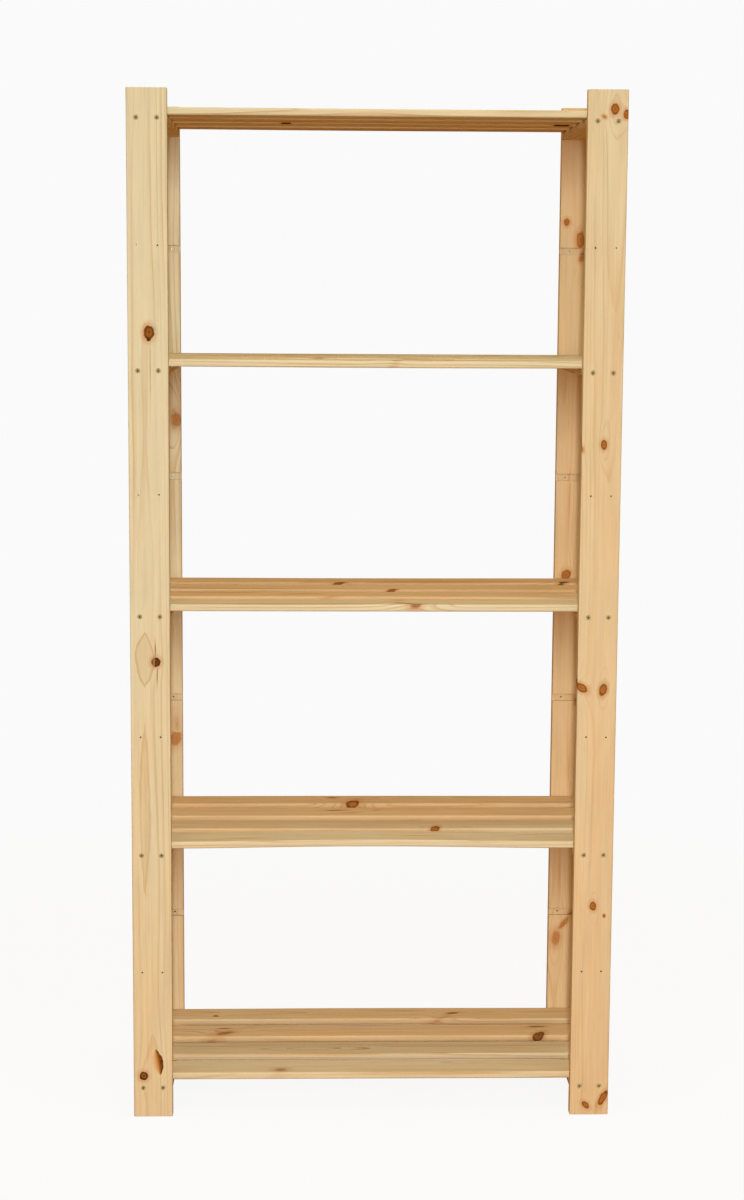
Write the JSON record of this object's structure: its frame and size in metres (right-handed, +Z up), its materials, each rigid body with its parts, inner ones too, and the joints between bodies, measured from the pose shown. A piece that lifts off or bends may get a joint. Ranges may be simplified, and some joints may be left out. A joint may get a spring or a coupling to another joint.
{
  "type": "slatted wooden rack",
  "caption": "Free-standing knotty pine rack with open slatted shelves on cross rails screwed between flat posts, for airing and storing bread or other goods.",
  "frame": {"origin": "middle of the footprint, on the floor", "axes": "+Z up along the posts, +X to the right seen from the front, the front faces -Y"},
  "size_m": [0.8, 0.39, 1.7],
  "materials": {
    "pine_post": "planed knotty pine, bare, satin",
    "pine_rail": "planed knotty pine, bare, satin",
    "pine_slat": "planed knotty pine, bare, satin",
    "zinc_screw": "yellow zinc plated steel"
  },
  "bodies": {
    "root": {"post_front_left": "pine_post", "post_front_right": "pine_post", "post_rear_left": "pine_post", "post_rear_right": "pine_post", "rail_1_left": "pine_rail", "rail_1_right": "pine_rail", "slat_1_1": "pine_slat", "slat_1_2": "pine_slat", "slat_1_3": "pine_slat", "slat_1_4": "pine_slat", "screw_1_left_outer": "zinc_screw", "screw_1_left_inner": "zinc_screw", "screw_1_right_outer": "zinc_screw", "screw_1_right_inner": "zinc_screw", "rail_2_left": "pine_rail", "rail_2_right": "pine_rail", "slat_2_1": "pine_slat", "slat_2_2": "pine_slat", "slat_2_3": "pine_slat", "slat_2_4": "pine_slat", "screw_2_left_outer": "zinc_screw", "screw_2_left_inner": "zinc_screw", "screw_2_right_outer": "zinc_screw", "screw_2_right_inner": "zinc_screw", "rail_3_left": "pine_rail", "rail_3_right": "pine_rail", "slat_3_1": "pine_slat", "slat_3_2": "pine_slat", "slat_3_3": "pine_slat", "slat_3_4": "pine_slat", "screw_3_left_outer": "zinc_screw", "screw_3_left_inner": "zinc_screw", "screw_3_right_outer": "zinc_screw", "screw_3_right_inner": "zinc_screw", "rail_4_left": "pine_rail", "rail_4_right": "pine_rail", "slat_4_1": "pine_slat", "slat_4_2": "pine_slat", "slat_4_3": "pine_slat", "slat_4_4": "pine_slat", "screw_4_left_outer": "zinc_screw", "screw_4_left_inner": "zinc_screw", "screw_4_right_outer": "zinc_screw", "screw_4_right_inner": "zinc_screw", "rail_5_left": "pine_rail", "rail_5_right": "pine_rail", "slat_5_1": "pine_slat", "slat_5_2": "pine_slat", "slat_5_3": "pine_slat", "slat_5_4": "pine_slat", "screw_5_left_outer": "zinc_screw", "screw_5_left_inner": "zinc_screw", "screw_5_right_outer": "zinc_screw", "screw_5_right_inner": "zinc_screw"}
  },
  "joints": []
}
